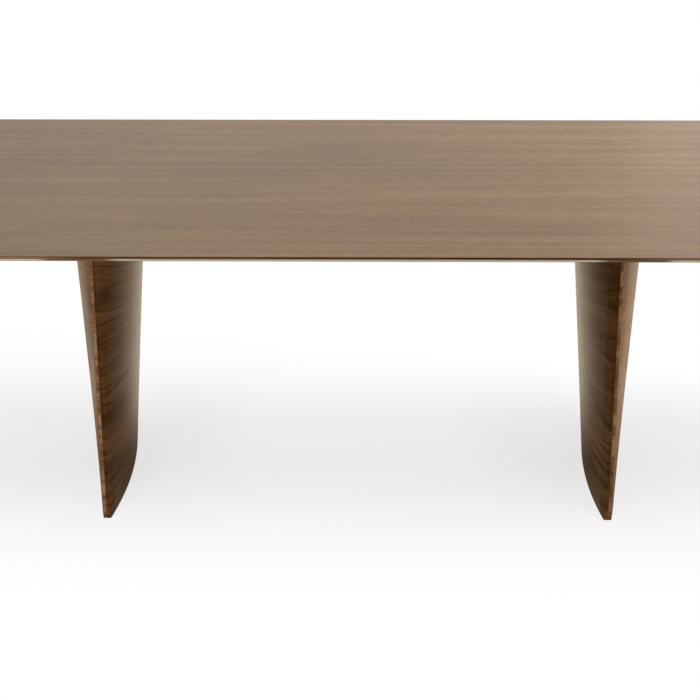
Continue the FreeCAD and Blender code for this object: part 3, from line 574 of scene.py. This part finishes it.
def plywood_finish():
    """Cut plies: thin level layers of alternate tone."""
    material, recipe, surface = new_material("birch_plywood")
    x, y, z = recipe.split(local_place(recipe))
    in_pair = recipe.maths("FRACT", recipe.over(z, PLY_PAIR))
    ply = recipe.remap(recipe.gap(in_pair, MIDDLE), *PLY_BORDER)
    fibre_place = recipe.join(recipe.times(x, PLY_FIBRE_RATE), recipe.times(y, PLY_FIBRE_RATE), z)
    fibre = recipe.noise(fibre_place)
    shade = recipe.plus(recipe.times(ply, PLY_SHARE), recipe.times(fibre, PLY_FIBRE_SHARE))
    rough = recipe.plus(PLY_ROUGHNESS, recipe.times(fibre, PLY_FIBRE_ROUGHNESS))
    recipe.feed(surface.inputs["Base Color"], recipe.ramp(shade, PLY_TONES))
    recipe.feed(surface.inputs["Roughness"], rough)
    recipe.feed(surface.inputs["Normal"], recipe.bump(ply, PLY_RELIEF, PLY_HEIGHT))
    return material


def coated_finish(coat):
    """Surface whose shade, gloss and relief vary a little."""
    material, recipe, surface = new_material(coat.name)
    speckle = recipe.group(SPECKLE, {"Place": local_place(recipe), "Size": coat.grain_size})
    mean = recipe.times(recipe.plus(speckle["Grains"], speckle["Clouds"]), MIDDLE)
    shade = recipe.ramp(mean, ((COAT_DARK, coat.dark), (COAT_LIGHT, coat.light)))
    rough = recipe.plus(coat.roughness, recipe.times(speckle["Clouds"], CLOUD_ROUGHNESS))
    relief = recipe.bump(speckle["Grains"], coat.relief, coat.grain_size * GRAIN_HEIGHT_SHARE)
    recipe.feed(surface.inputs["Base Color"], shade)
    recipe.feed(surface.inputs["Roughness"], rough)
    recipe.feed(surface.inputs["Normal"], relief)
    surface.inputs["Metallic"].default_value = coat.metallic
    return material


def make_finishes():
    finishes = {
        "top": wood_finish("walnut_face_veneer", along_table, TOP_CUT, LACQUER),
        "backing": wood_finish("walnut_backing_veneer", along_table, BACKING_CUT, SEALER),
        "long_edge": edge_finish("walnut_long_lipping", along_table),
        "end_edge": edge_finish("walnut_end_lipping", across_table),
        "inner_leg": wood_finish("walnut_inner_veneer", along_leg, INNER_CUT, OIL, INNER_SHEEN),
        "outer_leg": wood_finish("walnut_outer_veneer", along_leg, OUTER_CUT, OIL, OUTER_SHEEN),
        "nose": nose_finish(),
        "plywood": plywood_finish(),
    }
    for finish, coat in COATS.items():
        finishes[finish] = coated_finish(coat)
    return finishes


def dress(finish, *names):
    """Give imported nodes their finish."""
    for name in names:
        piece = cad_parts[name]
        if not piece.data.materials:
            piece.data.materials.append(finish)
        for slot in piece.material_slots:
            slot.material = finish


def keep_out_of_gloss(*names):
    """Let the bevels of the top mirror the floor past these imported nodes."""
    for name in names:
        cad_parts[name].visible_glossy = False


def soften(name, width):
    """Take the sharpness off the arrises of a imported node."""
    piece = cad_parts[name]
    weld = piece.modifiers.new("weld", "WELD")
    weld.merge_threshold = ARRIS_WELD
    bevel = piece.modifiers.new("arris", "BEVEL")
    bevel.width = width
    bevel.segments = ARRIS_STEPS
    bevel.limit_method = "ANGLE"
    bevel.angle_limit = ARRIS_ANGLE
    bevel.harden_normals = True


# Threaded stems

def round_point(centre, radius, angle, height):
    return centre + Vector((radius * math.cos(angle), radius * math.sin(angle), height))


def add_ring(shape, centre, sides, radius, height):
    angles = [math.tau * step / sides for step in range(sides)]
    return [shape.verts.new(round_point(centre, radius, angle, height)) for angle in angles]


def join_rings(shape, lower, upper):
    for step, corner in enumerate(lower):
        after = (step + 1) % len(lower)
        shape.faces.new((corner, lower[after], upper[after], upper[step]))


def add_collar(shape, centre, low):
    """Collar at the foot of a stem, with the socket for the key."""
    key_radius = KEY_WIDTH / 2 / math.cos(math.pi / KEY_SIDES)
    rim = add_ring(shape, centre, STEPS_PER_TURN, COLLAR_RADIUS, low)
    upper_rim = add_ring(shape, centre, STEPS_PER_TURN, COLLAR_RADIUS, low + COLLAR_HEIGHT)
    mouth = add_ring(shape, centre, KEY_SIDES, key_radius, low)
    roof = add_ring(shape, centre, KEY_SIDES, key_radius, low + KEY_DEPTH)
    join_rings(shape, rim, upper_rim)
    join_rings(shape, roof, mouth)
    shape.faces.new(upper_rim)
    shape.faces.new(reversed(roof))
    steps = STEPS_PER_TURN // KEY_SIDES
    for corner in range(KEY_SIDES):
        arc = [rim[(corner * steps + step) % STEPS_PER_TURN] for step in range(steps + 1)]
        shape.faces.new((mouth[corner], mouth[(corner + 1) % KEY_SIDES], *reversed(arc)))


def add_thread_row(shape, centre, low, high, turn, share, rise):
    """One line of the thread's form, which climbs by the pitch on its way round the stem."""
    groove = STEM_RADIUS - THREAD_DEPTH
    row = []
    for step in range(STEPS_PER_TURN):
        way = step / STEPS_PER_TURN
        height = low + (turn - 1 + share + way) * THREAD_PITCH
        height = min(max(height, low), high)
        bevelled = STEM_RADIUS - max(0.0, height - high + STEM_END_BEVEL)
        radius = min(groove + rise * THREAD_DEPTH, bevelled)
        row.append(shape.verts.new(round_point(centre, radius, math.tau * way, height)))
    return row


def add_thread(shape, centre, low, high):
    """Right-handed thread that runs out at the collar and at the bevelled end."""
    turns = math.ceil((high - low) / THREAD_PITCH) + RUN_OUT_TURNS
    rows = []
    for turn in range(turns):
        for share, rise in THREAD_FORM:
            rows.append(add_thread_row(shape, centre, low, high, turn, share, rise))
    full_turn = len(THREAD_FORM)
    for index in range(len(rows) - full_turn - 1):
        lower = rows[index] + [rows[index + full_turn][0]]
        upper = rows[index + 1] + [rows[index + 1 + full_turn][0]]
        for step in range(STEPS_PER_TURN):
            shape.faces.new((lower[step], lower[step + 1], upper[step + 1], upper[step]))
    bmesh.ops.remove_doubles(shape, verts=shape.verts, dist=THREAD_WELD)
    bmesh.ops.holes_fill(shape, edges=shape.edges)


def make_stem(leg, end, finish):
    """Stem of one glide with its thread and key socket, in place of the plain packed one."""
    node = f"{leg}_{end}_glide_stem"
    low, high = (Vector(corner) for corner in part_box(node))
    centre = Vector(((low.x + high.x) / 2, (low.y + high.y) / 2, 0.0))
    shape = bmesh.new()
    add_thread(shape, centre, low.z + COLLAR_HEIGHT, high.z)
    add_collar(shape, centre, low.z)
    mesh = bpy.data.meshes.new(f"{leg}_{end}_threaded_stem")
    shape.to_mesh(mesh)
    shape.free()
    mesh.materials.append(finish)
    stem = bpy.data.objects.new(mesh.name, mesh)
    scene.collection.objects.link(stem)
    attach(stem, f"{leg}_{end}_stem")
    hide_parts(node)


# Pieces of the table

def dress_top(finishes):
    dress(finishes["top"], "top_face_veneer")
    dress(finishes["backing"], "underside_veneer")
    dress(finishes["long_edge"], "front_lipping", "rear_lipping")
    dress(finishes["end_edge"], "left_lipping", "right_lipping")
    dress(finishes["core"], "top_core")
    dress(finishes["black_steel"], "front_stiffener", "rear_stiffener")
    dress(finishes["zinc"], "stiffener_screws")
    soften("top_face_veneer", VENEER_ARRIS)
    for edge in (*ENDS, *LEGS):
        soften(f"{edge}_lipping", LIPPING_ARRIS)


def dress_leg(leg, finishes):
    inner_shell = f"{leg}_inner_shell"
    outer_shell = f"{leg}_outer_shell"
    noses = [f"{leg}_{end}_nose" for end in ENDS]
    ribs = [f"{leg}_{rib}_rib" for rib in RIBS]
    dress(finishes["inner_leg"], inner_shell)
    dress(finishes["outer_leg"], outer_shell)
    dress(finishes["nose"], *noses)
    dress(finishes["plywood"], *ribs)
    keep_out_of_gloss(inner_shell, outer_shell, *noses, *ribs)
    dress(finishes["black_steel"], f"{leg}_mounting_plate")
    dress(finishes["zinc"], f"{leg}_mounting_bolts", f"{leg}_leg_screws", f"{leg}_glide_sleeves")
    dress(finishes["brass"], f"{leg}_threaded_inserts")
    for end in ENDS:
        dress(finishes["nylon"], f"{leg}_{end}_glide_pad")
        dress(finishes["zinc"], f"{leg}_{end}_glide_stem")
        make_stem(leg, end, finishes["zinc"])


# Floor, light and camera

def seen_directly(recipe):
    """One for rays from the camera and for mirrored and refracted rays, and zero for scattered light."""
    path = recipe.node("ShaderNodeLightPath").outputs
    seen = recipe.maths("MAXIMUM", path["Is Camera Ray"], path["Is Glossy Ray"])
    return recipe.maths("MAXIMUM", seen, path["Is Transmission Ray"])


def shadow_share(recipe, x, y):
    """How much of the table's shadow shows on the floor."""
    from_middle = recipe.without_sign(x)
    share = recipe.remap(from_middle, *SHADOW_SIDE, SHADOW_SHARE_MIDDLE, SHADOW_SHARE_SIDE)
    across = recipe.fade(recipe.gap(y, SHADOW_MIDDLE), SHADOW_FADE_ACROSS)
    along = recipe.fade(from_middle, SHADOW_FADE_ALONG)
    return recipe.times(recipe.times(across, share), along)


def mirrored_floor(recipe, x, y):
    """Floor as glossy surfaces show it: warm, shaded under the table, dimmer towards the left, and with
    painted shade beside the legs.
    """
    to_left = recipe.fade(x, MIRRORED_LEFT_FADE)
    warm = recipe.glow(recipe.mix(to_left, MIRRORED_COLOUR, MIRRORED_LEFT_COLOUR))
    from_centre = recipe.without_sign(y)
    under_across = recipe.fade(from_centre, MIRRORED_FADE_ACROSS)
    under_along = recipe.fade(recipe.without_sign(x), MIRRORED_FADE_ALONG)
    under = recipe.times(under_across, under_along)
    open_floor = recipe.blend(under, warm, recipe.matt(MIRRORED_SHADE_COLOUR))
    # Painted shade: a dark glowing patch on the floor beside each leg, seen only in mirror images
    from_middle = recipe.gap(x, BESIDE_CENTRE)
    outside = recipe.remap(from_middle, *BESIDE_FADE_OUT, 1.0, BESIDE_OUTSIDE_SHARE)
    beside_along = recipe.times(recipe.remap(from_middle, *BESIDE_FADE_IN), outside)
    beside_across = recipe.fade(recipe.gap(from_centre, BESIDE_MIDDLE), BESIDE_FADE_ACROSS)
    beside = recipe.times(beside_along, beside_across)
    return recipe.blend(beside, open_floor, recipe.glow(BESIDE_PAINTED_SHADE))


def make_floor():
    """White floor that keeps some of the table's shadow, and sends back light as pale paint does."""
    bpy.ops.mesh.primitive_plane_add(size=FLOOR_SIDE)
    floor = bpy.context.object
    floor.name = "studio_floor"
    material, recipe, surface = new_material("white_floor")
    tree = material.node_tree
    tree.nodes.remove(surface)
    place = recipe.split(local_place(recipe))
    share = shadow_share(recipe, place["X"], place["Y"])
    direct = recipe.blend(share, recipe.glow(WHITE), recipe.matt(WHITE))
    mirrored = mirrored_floor(recipe, place["X"], place["Y"])
    path = recipe.node("ShaderNodeLightPath").outputs
    seen = recipe.blend(path["Is Camera Ray"], mirrored, direct)
    whole = recipe.blend(seen_directly(recipe), recipe.matt(FLOOR_BOUNCE), seen)
    recipe.feed(tree.nodes["Material Output"].inputs["Surface"], whole)
    floor.data.materials.append(material)


def make_world():
    """Even light from all round, behind which the camera sees white."""
    world = bpy.data.worlds.new("studio")
    world.use_nodes = True
    scene.world = world
    recipe = Recipe(world.node_tree)
    background = world.node_tree.nodes["Background"]
    background.inputs["Color"].default_value = WHITE
    level = recipe.maths("MAXIMUM", seen_directly(recipe), AMBIENT_LEVEL)
    recipe.feed(background.inputs["Strength"], level)


def place_lamp(lamp, place, backwards, mirrored=True):
    """Put a lamp at a place, with its back to a direction. Gloss need not mirror it."""
    holder = bpy.data.objects.new(lamp.name, lamp)
    scene.collection.objects.link(holder)
    holder.location = place
    holder.rotation_euler = backwards.to_track_quat("Z", "Y").to_euler()
    holder.visible_glossy = mirrored


def make_lights():
    make_world()
    overhead = bpy.data.lights.new("overhead_light", "SUN")
    overhead.energy = math.pi * OVERHEAD_LEVEL
    overhead.angle = OVERHEAD_SOFTNESS
    place_lamp(overhead, OVERHEAD_PLACE, Vector((0.0, 0.0, 1.0)))
    for panel in PANELS:
        lamp = bpy.data.lights.new(panel.name, "AREA")
        lamp.energy = panel.power
        lamp.size = panel.size
        lamp.spread = panel.spread
        place_lamp(lamp, panel.place, Vector(panel.place) - Vector(panel.aim), panel.mirrored)


def make_camera():
    lens = bpy.data.cameras.new("photo_camera")
    lens.lens = CAMERA_LENS
    lens.sensor_width = CAMERA_SENSOR
    camera = bpy.data.objects.new("photo_camera", lens)
    scene.collection.objects.link(camera)
    turn = Matrix.Rotation(CAMERA_TURN, 4, "Z")
    dip = Matrix.Rotation(math.pi / 2 - CAMERA_DIP, 4, "X")
    roll = Matrix.Rotation(CAMERA_ROLL, 4, "Z")
    camera.matrix_world = Matrix.Translation(CAMERA_PLACE) @ turn @ dip @ roll
    scene.camera = camera


scene.view_settings.view_transform = "Standard"
table_finishes = make_finishes()
dress_top(table_finishes)
for side in LEGS:
    dress_leg(side, table_finishes)
make_floor()
make_lights()
make_camera()
